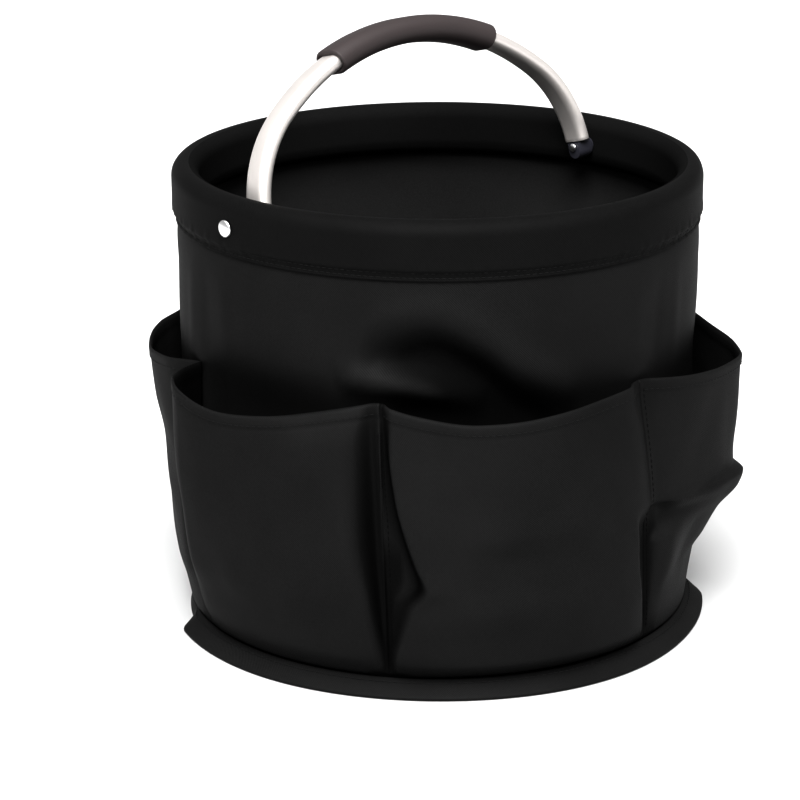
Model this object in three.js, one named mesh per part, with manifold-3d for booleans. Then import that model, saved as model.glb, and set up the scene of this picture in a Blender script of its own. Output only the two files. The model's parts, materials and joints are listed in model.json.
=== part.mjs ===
// A round fabric tool bucket: a soft cylindrical wall with six open pockets round its outside, a
// padded rim held open by an oval tube hoop, a stiffened floor, and an arched oval-tube carrying
// handle that turns on two rivets. Millimetres, +Z up. The origin is the centre of the underside,
// and +X runs along the axis of the two rivets.
import * as THREE from "three";
import { mergeVertices } from "three/addons/utils/BufferGeometryUtils.js";
import Module from "manifold-3d";

const wasm = await Module();
wasm.setup();

// ---- driving dimensions ----
const HEIGHT = 278; // floor to the top of the rim
const RIM_RADIUS = 156.5; // outside of the rolled rim
const ROLL = 16.2; // thickness of the rolled rim, which leaves an opening of 280 across
const COLLAR_DEPTH = 34; // top of the rim to the row of stitches under it
const WALL_RADIUS = 154.6; // outside of the wall above the pockets
const WALL_TUCK = 6; // how far the wall draws in at the floor
const CLOTH = 1.2; // outer fabric, doubled cloth with its coating
const LINING = 0.8;
const GAP = 0.3; // between pieces that touch
const SEGMENTS = 48; // facets round every turned piece

const SEAMS = [37, 99, 164.5, 213.8, 274, 336]; // degrees from +X to the seam between two pockets
const POCKET_TOP = 175; // height of the pocket mouth at its seams
const MOUTH_SAG = 9; // the mouth hangs this much lower between its seams
const POCKET_BULGE = 20; // how far the mouth stands off the wall

const FLANGE_RADIUS = 162.4; // outer edge of the seam flange round the floor
const SEAM_HEIGHT = 8.5; // where wall, pockets and bottom are sewn together
const BOARD_RADIUS = 141.5;
const BOARD = 3; // thickness of the stiff floor board

const PIVOT_Z = 261; // height of the rivets that the handle turns on
const PIVOT_Y = 9; // the rivets sit this far behind a diameter
const HANDLE_SPAN = 130.5; // half the distance between the two feet of the handle
const TUBE_WIDTH = 17; // oval handle tube, across the plane of the arch
const TUBE_DEPTH = 9; // and in the plane of the arch
const TUBE_WALL = 1.2;
const TUBE_START = 4; // the tube ends this far above the rivets
const LEG_TILT = 5; // degrees that each foot leans inwards
const SHOULDER_RADIUS = 71.5; // bend of each shoulder of the arch
const SHOULDER_END = 51.6; // degrees from upright where the shoulder meets the crown
const HANDLE_LEAN = 14; // degrees that the handle stands off upright, towards +Y
const GRIP_WIDTH = 23.4;
const GRIP_DEPTH = 15.6;
const GRIP_HALF_SPAN = 62;

const FOOT_WIDTH = 9.2; // plastic foot under each end of the tube
const FOOT_TOP = TUBE_START - 1.2; // above the rivet axis
const FOOT_DROP = 7; // below the rivet axis
const FOOT_FACE = HANDLE_SPAN - 4.2; // its inner face, along X
const FOOT_END = RIM_RADIUS - ROLL - 2.6; // its outer face

const RIVET_SHANK = 1.7;
const RIVET_TAIL = 2.5;
const RIVET_HOLE = 2; // drilled for the shank
const RIVET_HEAD = 5;
const WASHER_RADIUS = 4.8;

const radians = THREE.MathUtils.degToRad;
const v2 = (x, y) => new THREE.Vector2(x, y);

// ---- materials ----
const outerCloth = new THREE.MeshStandardMaterial({ color: 0x1b1b1b, roughness: 0.9, metalness: 0 });
const liningCloth = new THREE.MeshStandardMaterial({ color: 0x0e0e0e, roughness: 0.95, metalness: 0 });
const boardPlastic = new THREE.MeshStandardMaterial({ color: 0x2a2a2a, roughness: 0.7, metalness: 0 });
const satinAluminium = new THREE.MeshStandardMaterial({ color: 0xc9c8ca, roughness: 0.35, metalness: 1 });
const gripRubber = new THREE.MeshStandardMaterial({ color: 0x3d3535, roughness: 0.6, metalness: 0 });
const blackPlastic = new THREE.MeshStandardMaterial({ color: 0x15151a, roughness: 0.5, metalness: 0 });

// ---- shape helpers ----

// Turns a profile of (radius, height) points, counter-clockwise in that plane, about Z.
function turned(profile, segments = SEGMENTS) {
  return new THREE.LatheGeometry(profile, segments).rotateX(Math.PI / 2);
}

// A closed band of even thickness along a line of (radius, height) points.
function band(line, thickness) {
  const side = (sign) =>
    line.map((point, i) => {
      const along = line[Math.min(i + 1, line.length - 1)].clone().sub(line[Math.max(i - 1, 0)]).normalize();
      return v2(point.x - (sign * along.y * thickness) / 2, point.y + (sign * along.x * thickness) / 2);
    });
  const loop = [...side(-1), ...side(1).reverse()];
  return [...loop, loop[0]];
}

// An oval with flat sides and round ends, or its outline as a hole in another shape.
function oval(width, depth, points = 3) {
  const end = depth / 2;
  const flat = (width - depth) / 2;
  const shape = new THREE.Shape();
  shape.absarc(flat, 0, end, -Math.PI / 2, Math.PI / 2);
  shape.absarc(-flat, 0, end, Math.PI / 2, (3 * Math.PI) / 2);
  return new THREE.Shape(shape.getPoints(points));
}

function ovalTube(width, depth, innerWidth, innerDepth) {
  const shape = oval(width, depth);
  shape.holes.push(new THREE.Path(oval(innerWidth, innerDepth).getPoints()));
  return shape;
}

// Solids for cutting and joining.
function solid(geometry) {
  const bare = geometry.clone();
  bare.deleteAttribute("normal");
  bare.deleteAttribute("uv");
  const merged = mergeVertices(bare, 1e-4);
  return new wasm.Manifold(
    new wasm.Mesh({
      numProp: 3,
      vertProperties: new Float32Array(merged.attributes.position.array),
      triVerts: new Uint32Array(merged.index.array),
    }),
  );
}

function geometryOf(manifold) {
  const mesh = manifold.getMesh();
  const geometry = new THREE.BufferGeometry();
  geometry.setAttribute("position", new THREE.BufferAttribute(mesh.vertProperties, 3));
  geometry.setIndex(new THREE.BufferAttribute(mesh.triVerts, 1));
  return geometry;
}

// A cylinder along X from one x to another, on the line of the rivets or on another one.
function alongX(radius, fromX, toX, y = PIVOT_Y, z = PIVOT_Z) {
  const round = new THREE.CylinderGeometry(radius, radius, Math.abs(toX - fromX), 16);
  return round.rotateZ(Math.PI / 2).translate((fromX + toX) / 2, y, z);
}

function piece(name, geometry, material) {
  const mesh = new THREE.Mesh(geometry, material);
  mesh.name = name;
  return mesh;
}

// ---- wall, lining and floor ----

// Outside radius of the wall: it tucks in towards the floor and under the stitches of the collar.
function wallRadius(z) {
  const tuckHeight = 120;
  const pinchFrom = 226;
  const stitches = HEIGHT - COLLAR_DEPTH;
  const low = Math.max(0, 1 - z / tuckHeight);
  const high = Math.max(0, (z - pinchFrom) / (stitches - pinchFrom));
  return WALL_RADIUS - WALL_TUCK * low * low - 1.3 * Math.min(1, high * high);
}

function sleeve(inset, thickness, bottom) {
  const top = HEIGHT - COLLAR_DEPTH + 3;
  const heights = [bottom, 32, 68, 120, 226, HEIGHT - COLLAR_DEPTH, top];
  const outside = heights.map((z) => v2(wallRadius(z) - inset, z));
  const inside = heights.map((z) => v2(wallRadius(z) - inset - thickness, z)).reverse();
  return turned([...outside, ...inside, outside[0]]);
}

const bodyWall = () => piece("body_wall", sleeve(0, CLOTH, SEAM_HEIGHT + 0.5), outerCloth);

const liningWall = () => piece("lining_wall", sleeve(CLOTH + GAP, LINING, 6.6), liningCloth);

function bottomPanel() {
  const middle = CLOTH / 2;
  const rise = [v2(141, middle), v2(146, 2.6), v2(148.6, SEAM_HEIGHT - 2)];
  const under = band([v2(120, middle), ...rise], CLOTH).slice(1, 4);
  const over = band([v2(120, middle), ...rise], CLOTH).slice(4, 7);
  return piece("bottom_panel", turned([v2(0, 0), ...under, ...over, v2(0, CLOTH)]), outerCloth);
}

function disc(radius, bottom, thickness) {
  return turned([v2(0, bottom), v2(radius, bottom), v2(radius, bottom + thickness), v2(0, bottom + thickness)]);
}

const baseBoard = () => piece("base_board", disc(BOARD_RADIUS, CLOTH + GAP, BOARD), boardPlastic);

const liningFloor = () =>
  piece("lining_floor", disc(BOARD_RADIUS + 3, CLOTH + BOARD + 2 * GAP, LINING), liningCloth);

// The sewn edges of wall, pockets and bottom, bound together and standing out round the floor.
function baseFlange() {
  const slope = [v2(150.2, SEAM_HEIGHT - 0.6), v2(156.5, 5.2), v2(FLANGE_RADIUS - 0.6, 1.5)];
  return piece("base_flange", turned(band(slope, 2.4)), outerCloth);
}

// ---- pockets ----

// One pocket: a sheet sewn to the wall down both sides and to the flange below, standing off the
// wall between, with an open mouth on top.
function pocket(index) {
  const across = 12;
  const up = 5;
  const sideGap = 0.25;
  const next = SEAMS[index + 1] ?? SEAMS[0] + 360;
  const start = radians(SEAMS[index] + sideGap);
  const sweep = radians(next - SEAMS[index] - 2 * sideGap);
  const foot = SEAM_HEIGHT + 2.6;
  const point = (s, t, offset) => {
    const spread = 1 - Math.abs(2 * s - 1) ** 4;
    const mouth = POCKET_TOP - MOUTH_SAG * (1 - (2 * s - 1) ** 2);
    const z = foot + (mouth - foot) * t;
    const fill = 0.7 * Math.min(1, t / 0.3) ** 0.8 + 0.3 * t;
    const radius = wallRadius(z) + GAP + POCKET_BULGE * spread * fill + offset;
    const angle = start + sweep * s;
    return [radius * Math.cos(angle), radius * Math.sin(angle), z];
  };
  return piece(`pocket_${index + 1}`, sheet(point, across, up, CLOTH), outerCloth);
}

// A closed sheet between two sides of point(s, t, offset), offset 0 and thickness.
function sheet(point, across, up, thickness) {
  const positions = [];
  const faces = [];
  const row = across + 1;
  const side = row * (up + 1);
  for (const offset of [thickness, 0])
    for (let j = 0; j <= up; j++)
      for (let i = 0; i <= across; i++) positions.push(...point(i / across, j / up, offset));
  const quad = (a, b, c, d) => faces.push(a, b, c, a, c, d);
  const at = (i, j) => j * row + i;
  for (let j = 0; j < up; j++)
    for (let i = 0; i < across; i++) {
      quad(at(i, j), at(i + 1, j), at(i + 1, j + 1), at(i, j + 1));
      quad(side + at(i, j), side + at(i, j + 1), side + at(i + 1, j + 1), side + at(i + 1, j));
    }
  for (let i = 0; i < across; i++) {
    quad(at(i + 1, 0), at(i, 0), side + at(i, 0), side + at(i + 1, 0));
    quad(at(i, up), at(i + 1, up), side + at(i + 1, up), side + at(i, up));
  }
  for (let j = 0; j < up; j++) {
    quad(at(0, j), at(0, j + 1), side + at(0, j + 1), side + at(0, j));
    quad(at(across, j + 1), at(across, j), side + at(across, j), side + at(across, j + 1));
  }
  const geometry = new THREE.BufferGeometry();
  geometry.setAttribute("position", new THREE.Float32BufferAttribute(positions, 3));
  geometry.setIndex(faces);
  return geometry;
}

// ---- rim: collar, hoop and the rivets through them ----

const rollCentre = RIM_RADIUS - ROLL / 2;

function rivetHoles(innerX, outerX) {
  return [1, -1].map((side) => solid(alongX(RIVET_HOLE, side * innerX, side * outerX)));
}

// A cloth channel over the hoop: an outer and an inner flap sewn through the wall between them.
function rimCollar() {
  const half = (ROLL - CLOTH) / 2;
  const stitches = HEIGHT - COLLAR_DEPTH;
  const shoulder = HEIGHT - CLOTH / 2 - half;
  const crown = [0, 30, 60, 90, 120, 150, 180].map((degrees) =>
    v2(rollCentre + half * Math.cos(radians(degrees)), shoulder + half * Math.sin(radians(degrees))),
  );
  const outerFlap = wallRadius(stitches) + GAP + CLOTH / 2;
  const innerFlap = wallRadius(stitches) - CLOTH - LINING - 2 * GAP - CLOTH / 2;
  const line = [
    v2(outerFlap, stitches - 2.5),
    v2(outerFlap, stitches + 2),
    v2(rollCentre + half, stitches + 12),
    ...crown,
    v2(rollCentre - half, stitches + 12),
    v2(innerFlap, stitches + 2),
    v2(innerFlap, stitches - 2.5),
  ];
  const collar = rivetHoles(RIM_RADIUS - ROLL - 5, RIM_RADIUS + 5).reduce(
    (body, hole) => body.subtract(hole),
    solid(turned(band(line, CLOTH))),
  );
  return piece("rim_collar", geometryOf(collar), outerCloth);
}

// The hoop is an oval tube bent to a circle, standing upright in the collar.
function rimHoop() {
  const width = ROLL - 2 * CLOTH - 2 * GAP;
  const depth = 22;
  const centreZ = HEIGHT - CLOTH - GAP - depth / 2;
  const ring = (w, d) => {
    const flat = (d - w) / 2;
    const half = [0, 45, 90, 135, 180].map(radians);
    const top = half.map((a) => v2(rollCentre + (w / 2) * Math.cos(a), centreZ + flat + (w / 2) * Math.sin(a)));
    const low = half.map((a) => v2(rollCentre - (w / 2) * Math.cos(a), centreZ - flat - (w / 2) * Math.sin(a)));
    return turned([...top, ...low, top[0]]);
  };
  const tube = solid(ring(width, depth)).subtract(solid(ring(width - 2 * TUBE_WALL, depth - 2 * TUBE_WALL)));
  const drilled = rivetHoles(RIM_RADIUS - ROLL, RIM_RADIUS).reduce((body, hole) => body.subtract(hole), tube);
  return piece("rim_hoop", geometryOf(drilled), satinAluminium);
}

// A domed rivet through the rim and the foot of the handle, with its tail clenched on the foot.
function rivet(name, side) {
  const headX = RIM_RADIUS + GAP;
  const tailX = FOOT_FACE - GAP;
  const profile = [
    v2(0, tailX - 1.7),
    v2(RIVET_TAIL * 0.7, tailX - 1.4),
    v2(RIVET_TAIL, tailX - 0.7),
    v2(RIVET_TAIL, tailX),
    v2(RIVET_SHANK, tailX),
    v2(RIVET_SHANK, headX),
    v2(RIVET_HEAD, headX),
    v2(RIVET_HEAD * 0.93, headX + 1),
    v2(RIVET_HEAD * 0.6, headX + 2),
    v2(0, headX + 2.4),
  ];
  const geometry = turned(profile, 16).rotateY(Math.PI / 2);
  if (side < 0) geometry.rotateZ(Math.PI);
  return piece(name, geometry.translate(0, PIVOT_Y, PIVOT_Z), satinAluminium);
}

// Keeps the foot of the handle from rubbing on the cloth.
function pivotWasher(name, side) {
  const [fromX, toX] = [FOOT_END + GAP, FOOT_END + GAP + 1].map((x) => side * x);
  const disc = solid(alongX(WASHER_RADIUS, fromX, toX));
  const hole = solid(alongX(RIVET_HOLE, fromX - side, toX + side));
  return piece(name, geometryOf(disc.subtract(hole)), blackPlastic);
}

// ---- handle, drawn with its rivet axis along X at height 0 and its arch upright ----

// Half of the arch's centre line: from the foot, over the shoulder, to the crown.
function archHalf(shoulderSteps, crownSteps) {
  const points = [];
  const tilt = radians(LEG_TILT);
  const end = radians(SHOULDER_END);
  const shoulderRun = SHOULDER_RADIUS * (Math.cos(tilt) - Math.cos(end));
  const crownRadius = (HANDLE_SPAN - shoulderRun) / Math.cos(end);
  const at = (run, rise) => new THREE.Vector3(-HANDLE_SPAN + run, 0, TUBE_START + rise);
  for (let i = 0; i <= shoulderSteps; i++) {
    const a = tilt + ((end - tilt) * i) / shoulderSteps;
    points.push(
      at(SHOULDER_RADIUS * (Math.cos(tilt) - Math.cos(a)), SHOULDER_RADIUS * (Math.sin(a) - Math.sin(tilt))),
    );
  }
  const shoulderRise = SHOULDER_RADIUS * (Math.sin(end) - Math.sin(tilt));
  for (let i = 1; i <= crownSteps; i++) {
    const a = end + ((Math.PI / 2 - end) * i) / crownSteps;
    points.push(
      at(
        shoulderRun + crownRadius * (Math.cos(end) - Math.cos(a)),
        shoulderRise + crownRadius * (Math.sin(a) - Math.sin(end)),
      ),
    );
  }
  return points;
}

// The arch's centre line between -halfSpan and +halfSpan.
function archCurve(halfSpan) {
  const left = archHalf(12, 12).filter((p) => p.x >= -halfSpan - 1e-6);
  const right = left.slice(0, -1).reverse().map((p) => new THREE.Vector3(-p.x, 0, p.z));
  return new THREE.CatmullRomCurve3([...left, ...right], false, "centripetal");
}

function handleTube() {
  const inner = [TUBE_WIDTH - 2 * TUBE_WALL, TUBE_DEPTH - 2 * TUBE_WALL];
  const geometry = new THREE.ExtrudeGeometry(ovalTube(TUBE_WIDTH, TUBE_DEPTH, ...inner), {
    steps: 28,
    bevelEnabled: false,
    extrudePath: archCurve(HANDLE_SPAN),
  });
  return piece("handle_tube", geometry, satinAluminium);
}

function handleGrip() {
  const bore = [TUBE_WIDTH + 3, TUBE_DEPTH + 2 * GAP + 0.2];
  const geometry = new THREE.ExtrudeGeometry(ovalTube(GRIP_WIDTH, GRIP_DEPTH, ...bore), {
    steps: 12,
    bevelEnabled: false,
    extrudePath: archCurve(GRIP_HALF_SPAN),
  });
  return piece("handle_grip", geometry, gripRubber);
}

// A plastic foot: a plug inside the end of the tube, and below it a block that reaches out to the
// rim, with a round underside, a tapered outer end and the rivet through it.
function handleFoot(name, side) {
  const slack = 2 * (TUBE_WALL + GAP);
  const plug = new THREE.ExtrudeGeometry(oval(TUBE_WIDTH - slack, TUBE_DEPTH - slack - 1), {
    depth: 6,
    bevelEnabled: false,
  });
  plug.rotateZ(Math.PI / 2).rotateY(radians(LEG_TILT)).translate(-HANDLE_SPAN, 0, TUBE_START);
  const neck = new THREE.BoxGeometry(4, FOOT_WIDTH - 1, 5).translate(-HANDLE_SPAN, 0, TUBE_START);

  const half = FOOT_WIDTH / 2;
  const front = new THREE.Shape().moveTo(half, FOOT_TOP).lineTo(-half, FOOT_TOP);
  front.absarc(0, half - FOOT_DROP, half, Math.PI, 2 * Math.PI);
  const block = new THREE.ExtrudeGeometry(front, {
    depth: FOOT_END - FOOT_FACE,
    bevelEnabled: false,
    curveSegments: 7,
  });
  block.rotateX(Math.PI / 2).rotateZ(Math.PI / 2).translate(-FOOT_END, 0, 0);
  const profile = new THREE.Shape([
    v2(-FOOT_END - 1, -3.5),
    v2(-FOOT_END + 4, -FOOT_DROP - 0.5),
    v2(-FOOT_FACE + 1, -FOOT_DROP - 0.5),
    v2(-FOOT_FACE + 1, FOOT_TOP + 0.5),
    v2(-FOOT_END - 1, FOOT_TOP + 0.5),
  ]);
  const taper = new THREE.ExtrudeGeometry(profile, { depth: 2 * FOOT_WIDTH, bevelEnabled: false });
  taper.rotateX(Math.PI / 2).translate(0, FOOT_WIDTH, 0);

  const hole = solid(alongX(RIVET_HOLE, -FOOT_END - 5, -FOOT_FACE + 5, 0, 0));
  const geometry = geometryOf(
    solid(block).intersect(solid(taper)).add(solid(neck)).add(solid(plug)).subtract(hole),
  );
  if (side > 0) geometry.rotateZ(Math.PI);
  return piece(name, geometry, blackPlastic);
}

function handle() {
  const group = new THREE.Group();
  group.add(handleTube(), handleGrip(), handleFoot("handle_foot_left", -1), handleFoot("handle_foot_right", 1));
  group.rotation.x = -radians(HANDLE_LEAN);
  group.position.set(0, PIVOT_Y, PIVOT_Z);
  return group;
}

// ---- the whole bucket ----
const bucket = new THREE.Group();
bucket.add(bodyWall(), liningWall(), bottomPanel(), baseBoard(), liningFloor(), baseFlange());
SEAMS.forEach((_, i) => bucket.add(pocket(i)));
bucket.add(rimCollar(), rimHoop());
for (const [side, word] of [[-1, "left"], [1, "right"]])
  bucket.add(rivet(`rivet_${word}`, side), pivotWasher(`pivot_washer_${word}`, side));
bucket.add(handle());

export default bucket;
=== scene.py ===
"""The looks of a round fabric tool bucket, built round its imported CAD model. Lengths are in metres."""

import json
import math

import bmesh
import bpy
import numpy as np
from mathutils import Matrix, Vector


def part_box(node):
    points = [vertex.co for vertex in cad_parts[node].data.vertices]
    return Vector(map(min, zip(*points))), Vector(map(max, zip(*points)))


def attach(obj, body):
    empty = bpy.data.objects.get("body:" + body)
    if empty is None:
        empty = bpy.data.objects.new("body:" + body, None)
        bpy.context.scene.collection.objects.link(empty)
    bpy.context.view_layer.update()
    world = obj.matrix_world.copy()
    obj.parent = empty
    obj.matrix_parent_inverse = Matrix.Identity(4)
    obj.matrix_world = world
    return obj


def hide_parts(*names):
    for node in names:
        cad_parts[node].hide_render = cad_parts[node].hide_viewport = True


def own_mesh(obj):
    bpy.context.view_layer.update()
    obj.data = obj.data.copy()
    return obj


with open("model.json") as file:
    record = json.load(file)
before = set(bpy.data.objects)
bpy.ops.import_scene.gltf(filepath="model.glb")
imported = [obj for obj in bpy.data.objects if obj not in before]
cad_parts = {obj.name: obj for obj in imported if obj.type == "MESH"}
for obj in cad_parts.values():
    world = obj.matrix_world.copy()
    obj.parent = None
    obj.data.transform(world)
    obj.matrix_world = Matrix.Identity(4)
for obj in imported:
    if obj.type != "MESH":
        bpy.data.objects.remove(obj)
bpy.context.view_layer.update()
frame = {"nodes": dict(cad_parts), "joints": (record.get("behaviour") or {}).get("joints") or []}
MM = 0.001

# ---- places and sizes: those that the CAD model has are read from the frame ----

RIM_LOW, RIM_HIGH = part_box("rim_collar")
RIM_RADIUS = RIM_HIGH[0]
RIM_TOP = RIM_HIGH[2]
STITCH_Z = RIM_LOW[2] + 2.5 * MM  # the row of stitches that closes the collar
ROLL = 16.2 * MM  # thickness of the rolled rim
ROLL_CENTRE = RIM_RADIUS - ROLL / 2
WALL_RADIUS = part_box("body_wall")[1][0]
WALL_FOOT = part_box("body_wall")[0][2]
WALL_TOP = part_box("body_wall")[1][2]
FLANGE_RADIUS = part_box("base_flange")[1][0]
POCKET_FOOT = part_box("pocket_1")[0][2]
POCKET_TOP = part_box("pocket_1")[1][2]
JOINTS = {joint["name"]: joint for joint in frame["joints"]}
PIVOT = Vector(JOINTS["handle_swing"]["pos_m"])
CLOTH = 1.2 * MM  # thickness

SEAMS = [37, 99, 164.5, 213.8, 274, 336]  # degrees from +X to the seam between two pockets
SEAM_FRONT = SEAMS[3]  # the seam nearest the camera

HANDLE_SPAN = 130.5 * MM  # half the distance between the feet of the handle
HANDLE_LEAN = math.radians(14)
TUBE_WIDTH = 17 * MM
TUBE_DEPTH = 9 * MM
TUBE_WALL = 1.2 * MM
TUBE_START = 4 * MM  # above the rivets
LEG_TILT = math.radians(5)  # inwards, where the tube leaves the feet
SHOULDER_RADIUS = 71.5 * MM  # of the tight bend above each foot
SHOULDER_END = math.radians(51.6)  # the tube's tilt where that bend meets the crown's
GRIP_WIDTH = 23.4 * MM
GRIP_DEPTH = 15.6 * MM
GRIP_HALF_SPAN = 62 * MM
GRIP_SHIFT = 3 * MM  # the sleeve has slipped a little to the right

CAMERA_TURN = 44.3  # degrees from the camera's right to the line of the rivets
CAMERA_DISTANCE = 1.7179
CAMERA_HEIGHT = 0.684
CAMERA_AIM = 0.1272  # the height that the camera looks at
CAMERA_LENS = 134.65
CAMERA_SHIFT = -0.0476875  # as a share of the picture's width

VIEW_GAMMA = 0.78
WORLD_LIGHT = 0.55
FLOOR_HALF_SIZE = 15.0
# name, degrees round to the right of the camera, degrees up, power, degrees across
SUNS = [
    ("key", -2, 48, 6.1, 30),
    ("left", -70, 62, 0.75, 40),
    ("right", 70, 52, 0.8, 40),
    ("top", 0, 70, 1.6, 40),
]

# ---- small helpers ----


def smooth(x):
    """A ramp from 0 to 1 with level ends."""
    x = np.clip(x, 0, 1)
    return x * x * (3 - 2 * x)


def bump(x, centre, width):
    """A rounded hill of height 1."""
    return np.exp(-(((x - centre) / width) ** 2))


def turn_gap(a, b):
    """The difference between two angles in degrees, from -180 to 180."""
    return (a - b + 180) % 360 - 180


def curve_through(points):
    """A smooth function through (x, y) points that doesn't overshoot between them."""
    xs, ys = (np.array(v, float) for v in zip(*points))
    steps = np.diff(ys) / np.diff(xs)
    slopes = np.zeros(len(xs))
    for i in range(1, len(xs) - 1):
        if steps[i - 1] * steps[i] > 0:
            slopes[i] = 2 * steps[i - 1] * steps[i] / (steps[i - 1] + steps[i])
    slopes[0], slopes[-1] = steps[0], steps[-1]

    def value(x):
        x = np.clip(x, xs[0], xs[-1])
        i = np.clip(np.searchsorted(xs, x, side="right") - 1, 0, len(xs) - 2)
        h = xs[i + 1] - xs[i]
        t = (x - xs[i]) / h
        return (
            ys[i] * (1 + 2 * t) * (1 - t) ** 2
            + slopes[i] * h * t * (1 - t) ** 2
            + ys[i + 1] * t * t * (3 - 2 * t)
            - slopes[i + 1] * h * t * t * (1 - t)
        )

    return value


def soft_noise(seed, count, longest):
    """A smooth, repeatable unevenness over (angle in degrees, height in metres), from -1 to 1 or so."""
    random = np.random.default_rng(seed)
    waves = random.integers(1, 9, count)
    rises = random.uniform(-1, 1, count) * 2 * math.pi / longest
    phases = random.uniform(0, 2 * math.pi, count)
    weights = random.uniform(0.5, 1, count) / np.sqrt(waves)
    weights /= np.sqrt((weights**2).sum() / 2)

    def value(angle, z):
        total = 0
        for n, rise, phase, weight in zip(waves, rises, phases, weights):
            total = total + weight * np.sin(n * np.radians(angle) + rise * z + phase)
        return total

    return value


def mesh_object(name, vertices, faces, material, uvs=None):
    """A new object. uvs, if given, is one (u, v) for each vertex, in metres along the cloth."""
    mesh = bpy.data.meshes.new(name)
    mesh.from_pydata([tuple(v) for v in vertices], [], faces)
    mesh.materials.append(material)
    if uvs is not None:
        layer = mesh.uv_layers.new(name="cloth")
        loops = np.zeros(len(mesh.loops), int)
        mesh.loops.foreach_get("vertex_index", loops)
        layer.data.foreach_set("uv", np.asarray(uvs, float)[loops].ravel())
    mesh.polygons.foreach_set("use_smooth", [True] * len(mesh.polygons))
    mesh.validate()
    mesh.update()
    piece = bpy.data.objects.new(name, mesh)
    bpy.context.scene.collection.objects.link(piece)
    return piece


def paint_crease_shade(piece, values):
    """Stores on each vertex, for the cloth material, how much painted shade darkens it, from 0 to 1."""
    colours = np.ones((len(values), 4))
    colours[:, :3] = np.asarray(values)[:, None]
    layer = piece.data.color_attributes.new("painted_shade", "FLOAT_COLOR", "POINT")
    layer.data.foreach_set("color", colours.ravel())


def grid_faces(rows, columns, close_rows=False, close_columns=False):
    """Quads over a grid of rows x columns vertices, numbered row by row."""
    i = np.arange(rows if close_rows else rows - 1)
    j = np.arange(columns if close_columns else columns - 1)
    i, j = (v.ravel() for v in np.meshgrid(i, j, indexing="ij"))
    i2, j2 = (i + 1) % rows, (j + 1) % columns
    corners = [i * columns + j, i * columns + j2, i2 * columns + j2, i2 * columns + j]
    return np.stack(corners, 1).tolist()


def travelled(points):
    """How far each point of a line lies along it, from its first one."""
    steps = np.linalg.norm(np.diff(points, axis=0), axis=1)
    return np.concatenate([[0], np.cumsum(steps)])


def unit(vectors):
    """The same vectors, each of length 1."""
    return vectors / np.linalg.norm(vectors, axis=1, keepdims=True)


def cylinder_points(angle, radius, z):
    """Points round the bucket's axis, from an angle in degrees, a radius and a height."""
    a = np.radians(angle)
    return np.stack([radius * np.cos(a), radius * np.sin(a), z + 0 * a], -1)


def surface_normals(points):
    """Unit normals of a grid of points, out of the side that its rows and columns turn to."""
    across = np.gradient(points, axis=1)
    up = np.gradient(points, axis=0)
    normals = np.cross(across, up)
    return normals / np.maximum(np.linalg.norm(normals, axis=-1, keepdims=True), 1e-12)


# ---- cloth shapes ----

wall_noise = soft_noise(3, 9, 0.3)
wall_ripple = soft_noise(11, 7, 0.09)
collar_noise = soft_noise(7, 10, 0.2)

HOLLOWS = [3, 1, 7, 3, 2, 3]  # how far the wall sinks in behind each pocket, in millimetres
HOLLOW_Z = 158 * MM  # where it sinks in most
SEAM_PULL_Z = 178 * MM  # where the pockets' seams pull it out most

# The slack fold above the front seam, by degrees from the seam and millimetres: the arched edge that
# the wall hangs in under, how far it hangs in, and the ridge that springs from the seam below it.
DENT_EDGE = curve_through(
    [(-12, 182), (-5.5, 200), (-0.5, 217), (10, 224), (21, 211), (27.5, 197), (40, 174)]
)
DENT_DEPTH = curve_through([(-10, 0), (-3, 7), (8, 14), (22, 18), (32, 15), (44, 0)])
RIDGE_HEIGHT = curve_through([(-10, 0), (-3, 10.5), (3, 12.5), (10, 10), (17, 5), (24, 0)])
# Upright ripples at the sides of the wall: degrees from the front seam, and height in millimetres.
RIPPLES = [(-40, 0.8), (-47, -0.9), (-54, 0.8), (58, 0.8), (66, -0.9), (74, 0.8)]
RIPPLE_Z = 190 * MM  # where they are highest
WAIST_LOW, WAIST_HIGH = 120 * MM, 226 * MM  # the wall is straight between these heights
POCKET_MOUTH_Z = 172 * MM  # below this the wall stays behind the pockets


def plain_wall_radius(z):
    """The wall draws in towards the floor and under the stitches of the collar."""
    low = np.clip(1 - z / WAIST_LOW, 0, 1)
    high = np.clip((z - WAIST_HIGH) / (STITCH_Z - WAIST_HIGH), 0, 1)
    return WALL_RADIUS - 6 * MM * low * low - 1.3 * MM * high * high


def pocket_share(angle):
    """Which seam each angle comes after, and how far it is on from there to the next one, from 0 to 1."""
    turned = np.asarray(angle) - SEAMS[0]
    starts = np.array(SEAMS) - SEAMS[0]
    k = np.searchsorted(starts, turned % 360, side="right") - 1
    widths = np.diff(np.append(starts, 360))
    return k, (turned % 360 - starts[k]) / widths[k]


def slack_fold(angle, z):
    """How far the fold above the front seam moves the wall out."""
    across = turn_gap(angle, SEAM_FRONT)
    below = DENT_EDGE(across) * MM - z
    dent = DENT_DEPTH(across) * MM * smooth(below / (26 * MM))
    lip = 2.2 * MM * smooth(DENT_DEPTH(across) / 8) * bump(below, -6 * MM, 9 * MM)
    crest = (187 - 0.75 * np.clip(across, 0, 20)) * MM
    return lip - dent + RIDGE_HEIGHT(across) * MM * bump(z, crest, 8.5 * MM)


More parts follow.
